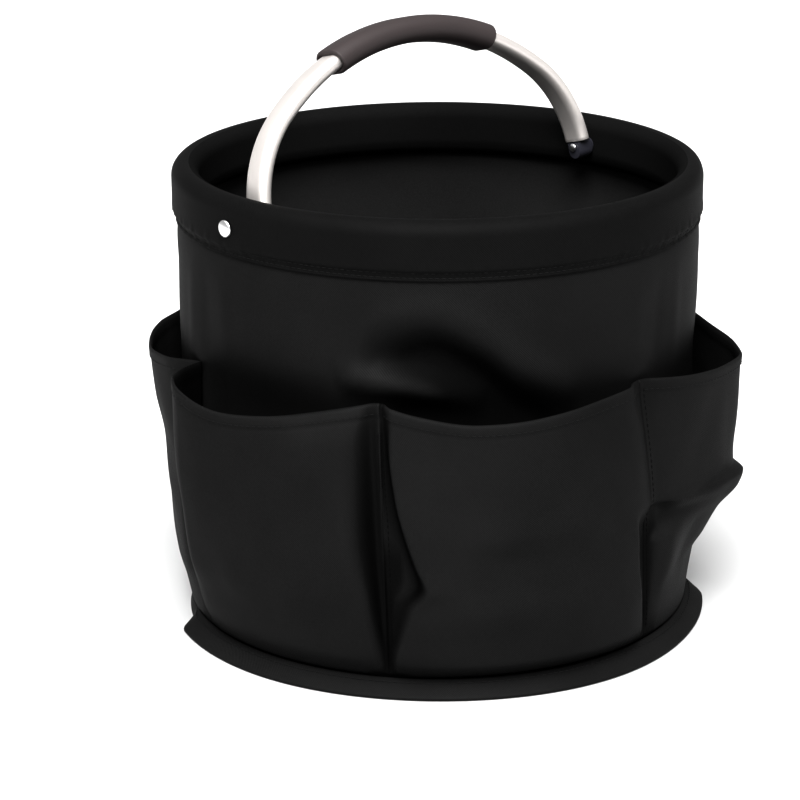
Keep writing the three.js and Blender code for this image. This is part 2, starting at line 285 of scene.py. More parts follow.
def wall_radius(angle, z):
    """The outside of the wall: it sinks in behind each pocket, and its seams pull it out."""
    # the wall is held still at its foot and by the stitches of the collar
    free = smooth((z - 105 * MM) / (45 * MM)) * smooth((STITCH_Z - z) / (26 * MM))
    offset = 0.8 * MM * wall_noise(angle, z) + 0.3 * MM * wall_ripple(angle, z)
    k, share = pocket_share(angle)
    hollow = np.array(HOLLOWS)[k] * np.clip(np.sin(np.pi * share), 0, 1) ** 0.8
    offset = offset - hollow * MM * bump(z, HOLLOW_Z, 27 * MM)
    for seam in SEAMS:
        pull = bump(turn_gap(angle, seam), 0, 5) * bump(z, SEAM_PULL_Z, 16 * MM)
        offset = offset + 1.5 * MM * pull
    offset = offset + slack_fold(angle, z)
    for place, height in RIPPLES:
        ripple = bump(turn_gap(angle, SEAM_FRONT), place, 2.6) * bump(z, RIPPLE_Z, 45 * MM)
        offset = offset + height * MM * ripple
    # behind the pockets the wall never comes out as far as their cloth
    most = -0.4 * MM + 9 * MM * smooth((z - POCKET_MOUTH_Z) / (10 * MM))
    return plain_wall_radius(z) + np.minimum(free * offset, most)


def thick_band(name, angles, line, material, wobble):
    """A closed ring of cloth. line is a closed loop of (radius, z) points, counter-clockwise seen
    along the ring, and wobble(angle, radius, z) says how far out to move each of its points."""
    loop = np.array(line, float)
    radius, z = loop[:, 0][:, None], loop[:, 1][:, None]
    angle = np.asarray(angles, float)[None, :]
    points = cylinder_points(angle + 0 * z, radius + wobble(angle, radius, z), z)
    faces = grid_faces(len(loop), len(angles), close_rows=True, close_columns=True)
    piece = mesh_object(name, points.reshape(-1, 3), faces, material)
    up = travelled(loop)
    around = np.radians(np.append(angles, angles[0] + 360)) * WALL_RADIUS
    left, bottom = np.meshgrid(around[:-1], up)
    right, top = np.meshgrid(around[1:], np.append(up[1:], up[-1] + up[1]))
    corners = np.stack([left, bottom, right, bottom, right, top, left, top], -1)
    piece.data.uv_layers.new(name="cloth").data.foreach_set("uv", corners.ravel())
    return piece


def ring_angles(count):
    """Evenly spaced degrees, once round."""
    return np.arange(count) * 360 / count


def wall_sheet(name, inset, thickness, low, high, material):
    """The wall or its lining: a tube of cloth, open at both ends, inset into the wall's outside."""
    angles = ring_angles(480)
    z = np.linspace(low, high, 72)
    outer = [(inset, h) for h in z]
    inner = [(inset + thickness, h) for h in z[::-1]]
    loop = np.array(outer + inner)

    def place(angle, depth, height):
        # the loop's radius is a depth here, so this turns it into the wall's radius less that depth
        return wall_radius(angle, height) - 2 * depth

    sheet = thick_band(name, angles, loop, material, place)
    angle, height = angles[None, :], loop[:, 1][:, None]
    # Painted shade on the wall and lining: darker where the wall sinks in, and behind the middle of each
    # pocket, darker downwards from a little above the pockets' mouths.
    hollow_shade = (plain_wall_radius(height) - wall_radius(angle, height)) / (10 * MM)
    covered = np.clip(np.sin(np.pi * pocket_share(angle)[1]), 0, 1) ** 0.5
    shaded = 0.82 * smooth((197 * MM - height) / (24 * MM)) * covered
    paint_crease_shade(sheet, np.clip(np.maximum(hollow_shade, shaded), 0, 1).ravel())
    return sheet


def round_edge(centre_r, centre_z, radius, start, end, steps):
    """Points round an arc in (radius, z), between two angles in degrees."""
    turns = np.radians(np.linspace(start, end, steps))
    return [(centre_r + radius * math.cos(a), centre_z + radius * math.sin(a)) for a in turns]


COLLAR_EDGE = STITCH_Z + 0.6 * MM
COLLAR_ROWS = (COLLAR_EDGE + 1.8 * MM, COLLAR_EDGE + 4.6 * MM)  # its two rows of stitches
COLLAR_FLARE = 12 * MM  # how far above its stitches the collar is as wide as the roll


def collar_piece(material):
    """The rolled rim: cloth over the hoop, sewn through the wall below it."""
    half = (ROLL - CLOTH) / 2
    shoulder = RIM_TOP - CLOTH / 2 - half
    flap_outer = plain_wall_radius(STITCH_Z) + 0.3 * MM + CLOTH / 2
    flap_inner = plain_wall_radius(STITCH_Z) - 3.2 * MM
    outer_line = curve_through(
        [
            (COLLAR_EDGE, flap_outer),
            (COLLAR_EDGE + 3 * MM, flap_outer + 0.1 * MM),
            (COLLAR_EDGE + 6.5 * MM, flap_outer + 1.7 * MM),
            (STITCH_Z + COLLAR_FLARE, ROLL_CENTRE + half - 0.1 * MM),
            (shoulder, ROLL_CENTRE + half),
        ]
    )
    inner_line = curve_through(
        [
            (COLLAR_EDGE, flap_inner),
            (COLLAR_EDGE + 1 * MM, flap_inner),
            (COLLAR_EDGE + 2.5 * MM, ROLL_CENTRE - half + 5 * MM),
            (COLLAR_EDGE + 6 * MM, ROLL_CENTRE - half + 1.5 * MM),
            (STITCH_Z + COLLAR_FLARE, ROLL_CENTRE - half),
            (shoulder, ROLL_CENTRE - half),
        ]
    )
    heights = np.linspace(COLLAR_EDGE, shoulder, 34)
    middle = [(float(outer_line(h)), h) for h in heights]
    middle += round_edge(ROLL_CENTRE, shoulder, half, 0, 180, 20)[1:-1]
    middle += [(float(inner_line(h)), h) for h in heights[::-1]]
    middle = np.array(middle)
    tangent = unit(np.gradient(middle, axis=0))
    out = np.stack([tangent[:, 1], -tangent[:, 0]], 1)
    outside = middle + out * CLOTH / 2
    inside = middle - out * CLOTH / 2
    loop = np.concatenate([outside, inside[::-1]])

    def wobble(angle, radius, z):
        free = smooth((z - STITCH_Z) / COLLAR_FLARE) * smooth((RIM_TOP - z) / (6 * MM))
        outer_side = smooth((radius - ROLL_CENTRE) / (3 * MM))
        uneven = 0.35 * MM * collar_noise(angle, z) * free * outer_side
        # the stitches pucker the cloth beside them
        beat = np.sin(np.radians(angle) * 96) + 0.6 * np.sin(np.radians(angle) * 151 + 1.3)
        pucker = 0.16 * MM * beat * bump(z, STITCH_Z + 5 * MM, 5 * MM) * outer_side
        pinch = -0.55 * MM * sum(bump(z, row, 1.1 * MM) for row in COLLAR_ROWS) * outer_side
        return uneven + pucker + pinch

    collar = thick_band("rim_cloth", ring_angles(600), loop, material, wobble)
    # the darker, painted-down copy of the lining goes on the lit inner side of the collar
    collar.data.materials.append(rim_lining_darkened_for_light)
    for face in collar.data.polygons:
        across = math.hypot(face.center.x, face.center.y) - ROLL_CENTRE
        face.material_index = 1 if across < -2.5 * MM else 0
    return collar


FLANGE_ROOT = plain_wall_radius(POCKET_FOOT) + 0.2 * MM
FLANGE_SLOPE = math.radians(62)  # above level, of the flange's normal


def flange_reach(angle):
    """How much of its full width the flange shows: it is tucked under where the sides pull it in."""
    across = turn_gap(angle, SEAM_FRONT)
    left = smooth((-57 - across) / 7) * smooth((across + 130) / 16)
    right = smooth((across - 101) / 10) * smooth((150 - across) / 16)
    return 1 - 0.85 * left - 0.5 * right


def flange_piece(material):
    """The bound edges of wall, pockets and bottom, standing out round the floor."""
    root = np.array([FLANGE_ROOT, 8.2 * MM])
    tip = np.array([FLANGE_RADIUS - 1.4 * MM, 1.6 * MM])
    half = 1.3 * MM  # half its thickness
    t = np.linspace(0, 1, 12)[:, None]
    spine = root + (tip - root) * t
    spine[:, 1] += 0.8 * MM * np.sin(np.pi * t[:, 0])
    tangent = unit(np.gradient(spine, axis=0))
    up = np.stack([-tangent[:, 1], tangent[:, 0]], 1)
    slope = math.degrees(math.atan2(tangent[-1, 1], tangent[-1, 0]))
    top = spine + up * half
    under = spine - up * half
    edge = round_edge(tip[0], tip[1], half, slope - 75, slope + 75, 6)
    loop = [tuple(p) for p in under] + edge + [tuple(p) for p in top[::-1]]
    noise = soft_noise(21, 12, 0.05)

    def wobble(angle, radius, z):
        out = radius - root[0]
        reach = smooth(out / (tip[0] - root[0]))
        return 0.6 * MM * noise(angle, 0) * reach - out * (1 - flange_reach(angle))

    return thick_band("flange_cloth", ring_angles(480), loop, material, wobble)


# ---- pockets ----

# How far each pocket's cloth stands off the wall. Each row is a height, then places across the pocket
# as shares of its width from its left seam, and the offset at each of them. Heights and offsets are
# in millimetres.
POCKET_SHAPES = {
    1: [
        (174, (0, 0.05, 0.12, 0.3, 0.5, 0.7, 0.88, 0.95, 1), (2, 7, 12, 17, 20, 17, 11, 6, 2)),
        (130, (0, 0.05, 0.13, 0.3, 0.5, 0.7, 0.86, 0.95, 1), (2, 5, 13, 18, 20, 18, 13, 4, 2)),
        (98, (0, 0.06, 0.15, 0.3, 0.5, 0.7, 0.84, 0.94, 1), (2, 3, 13, 17, 18, 19, 14, 3, 2)),
        (86, (0, 0.06, 0.15, 0.3, 0.5, 0.7, 0.84, 0.94, 1), (2, 3, 14, 18, 18, 16, 12, 3, 2)),
        (58, (0, 0.07, 0.16, 0.3, 0.5, 0.7, 0.83, 0.93, 1), (2, 2, 12, 14, 13, 12, 10, 2, 2)),
        (34, (0, 0.04, 0.1, 0.3, 0.5, 0.7, 0.9, 0.96, 1), (2, 2, 7, 8, 7, 7, 6, 2, 2)),
        (11, (0, 0.04, 0.1, 0.3, 0.5, 0.7, 0.9, 0.96, 1), (1.5,) * 9),
    ],
    2: [
        (174, (0, 0.15, 0.31, 0.41, 0.52, 0.65, 0.75, 0.86, 0.94, 1),
         (2, 6, 12, 17.5, 18.5, 17.5, 15.5, 12, 6.5, 1.6)),
        (136, (0, 0.15, 0.31, 0.41, 0.52, 0.65, 0.75, 0.86, 0.94, 1),
         (2, 8, 11, 13, 13.5, 14, 13, 10, 6, 1.6)),
        (112, (0, 0.12, 0.3, 0.41, 0.52, 0.65, 0.75, 0.86, 0.94, 1), (2, 9, 10, 10, 10, 10, 10, 9, 5, 1.6)),
        (80, (0, 0.12, 0.3, 0.41, 0.52, 0.65, 0.75, 0.86, 0.94, 1), (2, 9, 10, 10, 9.5, 8.5, 9, 8, 4, 1.6)),
        (42, (0, 0.1, 0.3, 0.41, 0.52, 0.65, 0.75, 0.86, 0.94, 1), (2, 6, 7, 7.5, 7, 6.5, 7, 6.5, 4, 1.6)),
        (26, (0, 0.1, 0.3, 0.41, 0.52, 0.65, 0.75, 0.86, 0.94, 1),
         (1.6, 3, 3.5, 4, 3, 3.5, 3.5, 3, 2, 1.6)),
        (11, (0, 0.1, 0.3, 0.41, 0.52, 0.65, 0.75, 0.86, 0.94, 1), (1.5,) * 10),
    ],
    3: [
        (174, (0, 0.035, 0.08, 0.16, 0.33, 0.57, 0.72, 0.87, 0.93, 0.97, 1),
         (1.6, 15, 25, 28, 26, 16, 8.5, 6.5, 4.5, 2, 2.6)),
        (150, (0, 0.035, 0.08, 0.16, 0.33, 0.57, 0.76, 0.83, 0.9, 0.965, 1),
         (1.6, 15, 25, 28, 27, 20, 16, 15, 11.5, 2, 5)),
        (122, (0, 0.035, 0.08, 0.16, 0.33, 0.57, 0.78, 0.84, 0.905, 0.97, 1),
         (1.6, 14, 24, 28, 27, 22, 19.5, 18.5, 14, 1.8, 4)),
        (92, (0, 0.04, 0.085, 0.16, 0.33, 0.57, 0.8, 0.865, 0.92, 0.975, 1),
         (1.6, 12, 21, 25.5, 25, 22, 21, 20, 15, 1.8, 2.6)),
        (62, (0, 0.04, 0.085, 0.16, 0.33, 0.57, 0.82, 0.905, 0.945, 0.98, 1),
         (1.6, 11, 18, 22, 21, 19, 18.5, 17.5, 14, 1.8, 2)),
        (42, (0, 0.04, 0.08, 0.16, 0.33, 0.57, 0.84, 0.935, 0.96, 0.985, 1),
         (1.6, 8, 13, 15, 14, 13.5, 13.5, 13, 10, 1.8, 1.8)),
        (25, (0, 0.03, 0.07, 0.16, 0.33, 0.57, 0.86, 0.95, 0.975, 0.992, 1),
         (1.6, 5, 8, 9.5, 10, 10, 10, 9, 6, 1.8, 1.6)),
        (11, (0, 0.03, 0.07, 0.16, 0.33, 0.57, 0.86, 0.96, 0.98, 0.99, 1), (1.5,) * 11),
    ],
    4: [
        (174, (0, 0.012, 0.025, 0.05, 0.2, 0.42, 0.65, 0.85, 0.93, 0.965, 1),
         (2.6, 2.6, 5.5, 8, 10.5, 12.5, 11, 9, 8, 4.5, 3.6)),
        (150, (0, 0.012, 0.026, 0.046, 0.2, 0.42, 0.65, 0.85, 0.93, 0.965, 1),
         (5, 2, 4, 13, 14.5, 15.5, 14, 11, 9.5, 8, 5.5)),
        (122, (0, 0.012, 0.04, 0.064, 0.2, 0.42, 0.65, 0.82, 0.915, 0.955, 1),
         (4, 1.8, 4, 16.5, 18.5, 18.5, 17, 14.5, 12.5, 10.5, 7.5)),
        (102, (0, 0.012, 0.06, 0.092, 0.22, 0.42, 0.65, 0.8, 0.88, 0.93, 1),
         (2.6, 1.8, 4, 18.5, 20, 20, 19, 16.5, 14.5, 12.5, 8)),
        (84, (0, 0.012, 0.088, 0.124, 0.24, 0.42, 0.65, 0.8, 0.885, 0.925, 1),
         (2, 1.8, 4, 19, 19, 16, 16.5, 16.5, 15.5, 6, 1.6)),
        (70, (0, 0.012, 0.11, 0.154, 0.24, 0.42, 0.65, 0.8, 0.888, 0.92, 1),
         (1.8, 1.8, 5, 19.5, 18.5, 16.5, 16, 16, 15, 5, 1.6)),
        (57, (0, 0.012, 0.06, 0.11, 0.24, 0.42, 0.65, 0.8, 0.895, 0.93, 1),
         (1.6, 1.8, 6, 15, 18.5, 17.5, 16.5, 16, 14.5, 5, 1.6)),
        (38, (0, 0.01, 0.035, 0.07, 0.2, 0.42, 0.65, 0.83, 0.918, 0.945, 1),
         (1.6, 1.8, 5, 12.5, 14.5, 14, 14, 13.5, 11, 4, 1.6)),
        (22, (0, 0.008, 0.022, 0.04, 0.2, 0.42, 0.65, 0.85, 0.94, 0.965, 1),
         (1.6, 1.8, 5, 9, 11.5, 12, 12, 11, 8, 3, 1.6)),
        (11, (0, 0.012, 0.022, 0.045, 0.2, 0.42, 0.65, 0.85, 0.97, 0.99, 1), (1.5,) * 11),
    ],
    5: [
        (174, (0, 0.03, 0.07, 0.14, 0.285, 0.4, 0.51, 0.6, 0.75, 0.88, 1),
         (3.6, 4, 6.5, 10, 19.5, 25.5, 27.5, 23, 13, 6, 2)),
        (150, (0, 0.03, 0.07, 0.14, 0.285, 0.4, 0.51, 0.6, 0.75, 0.88, 1),
         (5.5, 5.8, 7.5, 11, 19, 24, 26, 22.5, 13.5, 7, 2)),
        (126, (0, 0.03, 0.07, 0.14, 0.285, 0.4, 0.51, 0.6, 0.75, 0.88, 1),
         (7.2, 7.2, 8.5, 11.5, 18, 23, 25, 21, 13, 8, 2)),
        (104, (0, 0.03, 0.07, 0.14, 0.285, 0.4, 0.51, 0.6, 0.75, 0.88, 1),
         (8, 7.6, 8.6, 11.5, 17, 21.5, 23.5, 20, 13, 8, 2)),
        (98, (0, 0.03, 0.07, 0.14, 0.285, 0.4, 0.51, 0.6, 0.75, 0.88, 1),
         (7.4, 6, 8, 13, 17.5, 21, 23.5, 20, 12, 8, 2)),
        (94.5, (0, 0.03, 0.085, 0.15, 0.285, 0.4, 0.51, 0.6, 0.75, 0.88, 1),
         (5, 2, 3, 12, 20, 25.5, 29.5, 24, 14, 8, 2)),
        (86, (0, 0.03, 0.085, 0.16, 0.285, 0.4, 0.51, 0.6, 0.75, 0.88, 1),
         (2, 1.8, 2, 7, 16, 22.5, 27, 21, 12, 7, 2)),
        (72, (0, 0.018, 0.036, 0.12, 0.285, 0.4, 0.51, 0.6, 0.75, 0.88, 1),
         (1.6, 1.7, 6, 10, 10, 14, 16, 11.5, 8.5, 6, 2)),
        (54, (0, 0.014, 0.028, 0.1, 0.285, 0.4, 0.51, 0.6, 0.75, 0.88, 1),
         (1.6, 1.7, 5, 8.5, 5.5, 6.5, 8, 6, 6, 4, 2)),
        (42, (0, 0.012, 0.024, 0.08, 0.285, 0.4, 0.51, 0.6, 0.75, 0.88, 1),
         (1.6, 1.7, 4, 6.5, 4, 2.6, 2.2, 3, 5, 4, 2)),
        (26, (0, 0.004, 0.012, 0.08, 0.285, 0.4, 0.51, 0.6, 0.75, 0.88, 1),
         (1.5, 1.6, 2.8, 4.2, 2.6, 2, 1.8, 2, 3, 3, 1.6)),
        (11, (0, 0.01, 0.03, 0.1, 0.285, 0.4, 0.51, 0.6, 0.75, 0.88, 1), (1.5,) * 11),
    ],
    6: [
        (174, (0, 0.05, 0.13, 0.3, 0.48, 0.68, 0.86, 0.95, 1), (2, 6, 12, 18, 19.5, 16, 11, 6, 2)),
        (132, (0, 0.05, 0.14, 0.3, 0.48, 0.68, 0.86, 0.94, 1), (2, 4, 13, 18, 19, 18, 12, 4, 2)),
        (104, (0, 0.06, 0.15, 0.3, 0.48, 0.68, 0.85, 0.93, 1), (2, 3, 13, 17, 19.5, 18, 13, 3, 2)),
        (88, (0, 0.06, 0.16, 0.3, 0.48, 0.68, 0.84, 0.93, 1), (2, 3, 13, 15, 15, 16, 13, 3, 2)),
        (56, (0, 0.06, 0.17, 0.3, 0.48, 0.68, 0.82, 0.92, 1), (2, 2, 11, 12, 13, 12, 10, 2, 2)),
        (32, (0, 0.04, 0.1, 0.3, 0.48, 0.68, 0.9, 0.96, 1), (2, 2, 6, 7, 7, 7, 6, 2, 2)),
        (11, (0, 0.04, 0.1, 0.3, 0.48, 0.68, 0.9, 0.96, 1), (1.5,) * 9),
    ],
}
# How far the mouth hangs below its seams, and where it hangs lowest.
MOUTHS = {1: (10, 0.5), 2: (8, 0.55), 3: (12, 0.4), 4: (8.5, 0.36), 5: (8, 0.5), 6: (9.5, 0.5)}
# How far the foot and the mouth of each seam have been pulled round the bucket, in degrees.
SEAM_LEANS = [(0, 0), (1, 0), (-1.5, 0), (1.3, 0), (4.1, -2.8), (-1, 0)]
HEM = 7 * MM  # height of the fold at a pocket's mouth
HEIGHT_STEPS = np.linspace(0, 180, 361)
SHARE_STEPS = np.linspace(0, 1, 801)


def over_heights(heights, rows):
    """Each column of the rows, filled in over every height."""
    columns = np.array(rows, float).T
    return np.stack([curve_through(list(zip(heights, column)))(HEIGHT_STEPS) for column in columns], 1)


def offset_table(rows):
    """The offsets of a pocket's rows, filled in over every height and share."""
    heights, shares, offsets = zip(*rows[::-1])
    lines = zip(over_heights(heights, shares), over_heights(heights, offsets))
    return np.array([curve_through(list(zip(s, o)))(SHARE_STEPS) for s, o in lines]) * MM


def look_up(table, share, z):
    """The table's value at each share and height, by straight lines between its entries."""
    last_row, last_column = len(HEIGHT_STEPS) - 1, len(SHARE_STEPS) - 1
    row = np.clip(z / MM / (HEIGHT_STEPS[1] - HEIGHT_STEPS[0]), 0, last_row - 0.001)
    column = np.clip(share * last_column, 0, last_column - 0.001)
    i, j = row.astype(int), column.astype(int)
    a, b = row - i, column - j
    low = table[i, j] * (1 - b) + table[i, j + 1] * b
    high = table[i + 1, j] * (1 - b) + table[i + 1, j + 1] * b
    return low * (1 - a) + high * a


def mouth_height(index, share):
    """The height of a pocket's mouth, which hangs lowest at its own place."""
    sag, place = MOUTHS[index]
    warped = np.where(share < place, 0.5 * share / place, 0.5 + 0.5 * (share - place) / (1 - place))
    return POCKET_TOP - sag * MM * np.sin(np.pi * warped) ** 1.4


def seam_angle(k, z):
    """The place of seam k at a height: a straight line from its foot to the pockets' mouths."""
    foot, mouth = SEAM_LEANS[k]
    return SEAMS[k] + foot + (mouth - foot) * (z - POCKET_FOOT) / (POCKET_TOP - POCKET_FOOT)


def pocket_grid(index, columns, rows):
    """The outer face of a pocket, as rows x columns points, evenly spaced along each row."""
    table = offset_table(POCKET_SHAPES[index])
    dense = np.linspace(0, 1, 1200)
    noise = soft_noise(40 + index, 8, 0.12)
    fine_noise = soft_noise(60 + index, 9, 0.05)
    grid = np.zeros((rows, columns, 3))
    for j, t in enumerate(np.linspace(0, 1, rows)):
        z = POCKET_FOOT + (mouth_height(index, dense) - POCKET_FOOT) * t
        start = seam_angle(index - 1, z)
        sweep = (seam_angle(index % len(SEAMS), z) - start) % 360
        angle = start + sweep * dense
        free = smooth(dense / 0.12) * smooth((1 - dense) / 0.12)
        free = free * smooth((z - 20 * MM) / (40 * MM))
        uneven = 0.8 * MM * noise(angle * 2, z) + 0.3 * MM * fine_noise(angle * 4, z)
        radius = plain_wall_radius(z) + look_up(table, dense, z) + free * uneven
        points = cylinder_points(angle, radius, z)
        length = travelled(points)
        even = np.linspace(0, length[-1], columns)
        for axis in range(3):
            grid[j, :, axis] = np.interp(even, length, points[:, axis])
    return grid


def crease_shade_amounts(grid):
    """How much painted shade each point of a pocket gets, from 0 to 1, for lying down in a crease: below
    the mean of the cloth beside it, below a crest close by, or, in the pocket's lower half, close to the
    wall at a seam."""
    offsets = np.hypot(grid[..., 0], grid[..., 1]) - plain_wall_radius(grid[..., 2])
    shade_amounts = np.zeros(offsets.shape)
    for k, row in enumerate(offsets):
        step = np.linalg.norm(grid[k, 1] - grid[k, 0])
        reach = int(28 * MM / step)
        weights = bump(np.arange(-reach, reach + 1) * step, 0, 14 * MM)
        padded = np.pad(row, reach, mode="reflect")
        around = np.convolve(padded, weights / weights.sum(), "valid")
        below_mean = (around - row) / (4.5 * MM)

        near = int(10 * MM / step)
        padded = np.pad(row, near, mode="edge")
        crests = np.lib.stride_tricks.sliding_window_view(padded, 2 * near + 1).max(1)
        below_crest = (crests - row - 2.5 * MM) / (6 * MM)

        place = np.arange(len(row)) * step
        from_seam = np.minimum(place, place[-1] - place)
        low_down = smooth((112 * MM - grid[k, :, 2]) / (38 * MM))
        close = smooth((14 * MM - from_seam) / (5 * MM))
        at_seam = close * low_down * (4.6 * MM - row) / (2.4 * MM)
        shade_amounts[k] = np.maximum(np.maximum(below_mean, below_crest), at_seam)
    return np.clip(shade_amounts, 0, 1)


def thick_sheet(name, grid, thickness, material, uvs):
    """A closed piece of cloth: the grid is its outer face, and thickness is one for each row."""
    rows, columns = grid.shape[:2]
    normals = surface_normals(grid)
    depth = np.asarray(thickness, float)[:, None, None]
    inner = grid - normals * depth
    points = np.concatenate([grid, inner[::-1]], 0)
    uv = np.concatenate([uvs, uvs[::-1]], 0)
    total = 2 * rows
    faces = grid_faces(total, columns, close_rows=True)
    for j in (0, columns - 1):
        for i in range(rows - 1):
            a, b = i * columns + j, (i + 1) * columns + j
            c, d = (total - 2 - i) * columns + j, (total - 1 - i) * columns + j
            faces.append((a, b, c, d) if j == 0 else (a, d, c, b))
    return mesh_object(name, points.reshape(-1, 3), faces, material, uv.reshape(-1, 2))


def pocket_piece(index, material):
    """A pocket with its hem, and the grid of its outer face."""
    columns, rows = 130, 104
    grid = pocket_grid(index, columns, rows)
    height = travelled(grid[:, columns // 2])
    width = travelled(grid[rows // 2])
    from_top = height[-1] - height
    hem = smooth((HEM + 0.6 * MM - from_top) / (1.2 * MM))
    groove = bump(from_top, HEM, 0.7 * MM)
    normals = surface_normals(grid)
    swell = (0.55 * hem - 0.4 * groove) * MM
    top_round = np.clip(1 - from_top / (1.2 * MM), 0, 1) ** 2
    swell = swell - 0.9 * MM * top_round
    grid = grid + normals * swell[:, None, None]
    thickness = CLOTH * (1 + 0.9 * hem) - 1.5 * MM * top_round
    uvs = np.stack(np.meshgrid(width, height), -1)
    piece = thick_sheet(f"pocket_cloth_{index}", grid, thickness, material, uvs)
    # painted shade in the pocket's creases, on its outer and inner faces
    crease_shading = crease_shade_amounts(grid)
    paint_crease_shade(piece, np.concatenate([crease_shading, crease_shading[::-1]]).ravel())
    return piece, grid


# ---- stitches ----

STITCH_LENGTH = 2.6 * MM
STITCH_GAP = 1.0 * MM
STITCH_RADIUS = 0.33 * MM
# A stitch's outline: (share of its length from its middle, lift, thickness), the last two in radii.
STITCH_SHAPE = [(-0.5, 0.0, 0.25), (-0.36, 0.35, 0.8), (0, 0.55, 1.0), (0.36, 0.35, 0.8), (0.5, 0.0, 0.25)]
STITCH_SIDES = 6


def stitch_row(name, points, normals, material):
    """A row of short thread stitches along a line of points that lie on a surface."""
    points, normals = np.asarray(points, float), np.asarray(normals, float)
    travel = travelled(points)
    count = max(1, int(travel[-1] // (STITCH_LENGTH + STITCH_GAP)))
    pitch = travel[-1] / count
    sides = STITCH_SIDES
    turns = np.arange(sides) * 2 * np.pi / sides
    vertices, faces = [], []
    for k in range(count):
        middle = (k + 0.5) * pitch
        spots = [middle + share * STITCH_LENGTH for share, _, _ in STITCH_SHAPE]
        base = np.stack([np.interp(spots, travel, points[:, i]) for i in range(3)], 1)
        out = unit(np.stack([np.interp(spots, travel, normals[:, i]) for i in range(3)], 1))
        side = np.cross(unit(np.gradient(base, axis=0)), out)
        first = len(vertices)
        for p, n, s, (_, lift, size) in zip(base, out, side, STITCH_SHAPE):
            centre = p + n * (lift - 0.35) * STITCH_RADIUS
            for a in turns:
                spoke = np.cos(a) * s + np.sin(a) * n * 0.8
                vertices.append(centre + spoke * STITCH_RADIUS * size)
        for i in range(len(STITCH_SHAPE) - 1):
            for j in range(sides):
                a, b = first + i * sides + j, first + i * sides + (j + 1) % sides
                faces.append((a, b, b + sides, a + sides))
        faces.append(tuple(first + j for j in range(sides))[::-1])
        last = first + (len(STITCH_SHAPE) - 1) * sides
        faces.append(tuple(last + j for j in range(sides)))
    return mesh_object(name, vertices, faces, material)


def ring_stitches(name, radius_at, z, lean, material):
    """Stitches right round the bucket. lean is the angle of the surface's normal above level."""
    angle = np.linspace(0, 360, 1441)
    points = cylinder_points(angle, radius_at(angle), np.full_like(angle, z))
    a = np.radians(angle)
    level, rise = math.cos(lean), math.sin(lean)
    normals = np.stack([np.cos(a) * level, np.sin(a) * level, np.full_like(a, rise)], 1)
    return stitch_row(name, points, normals, material)


# ---- materials ----


def new_material(name, **values):
    """A new material, its node tree and its shader, with some of the shader's values."""
    material = bpy.data.materials.new(name)
    material.use_nodes = True
    shader = material.node_tree.nodes["Principled BSDF"]
    for key, value in values.items():
        shader.inputs[key.replace("_", " ")].default_value = value
    return material, material.node_tree, shader


def add_node(tree, kind, inputs=None, **settings):
    """A new node, with values for some of its inputs and settings of its own."""
    node = tree.nodes.new(kind)
    for key, value in settings.items():
        setattr(node, key, value)
    for socket, value in (inputs or {}).items():
        node.inputs[socket].default_value = value
    return node


def maths(tree, operation, a, b=None, clamp=False):
    """The output of a new Math node. a and b are numbers or other nodes' outputs."""
    node = tree.nodes.new("ShaderNodeMath")
    node.operation = operation
    node.use_clamp = clamp
    for socket, value in zip(node.inputs, (a, b)):
        if value is None:
            continue
        if isinstance(value, (int, float)):
            socket.default_value = value
        else:
            tree.links.new(value, socket)
    return node.outputs[0]


def mix_colours(tree, shader, factor, low, high):
    """Gives the shader a colour that goes from low to high with the factor."""
    mix = add_node(tree, "ShaderNodeMix", data_type="RGBA")
    tree.links.new(factor, mix.inputs["Factor"])
    mix.inputs["A"].default_value = (*low, 1)
    mix.inputs["B"].default_value = (*high, 1)
    tree.links.new(mix.outputs["Result"], shader.inputs["Base Color"])


def add_relief(tree, shader, height, strength, depth):
    """Gives the shader a bump from a height between 0 and 1 that stands for a depth in metres."""
    relief = add_node(tree, "ShaderNodeBump", inputs={"Strength": strength, "Distance": depth})
    tree.links.new(height, relief.inputs["Height"])
    tree.links.new(relief.outputs["Normal"], shader.inputs["Normal"])


def add_noises(tree, vector, *scales_and_details):
    """The outputs of a noise node for each (scale, detail)."""
    noises = []
    for scale, detail in scales_and_details:
        noise = add_node(tree, "ShaderNodeTexNoise", inputs={"Scale": scale, "Detail": detail})
        tree.links.new(vector, noise.inputs["Vector"])
        noises.append(noise.outputs["Fac"])
    return noises


CREASE_SHADE = 0.95  # how much of its light colour the cloth loses to painted shade at the bottom of a crease
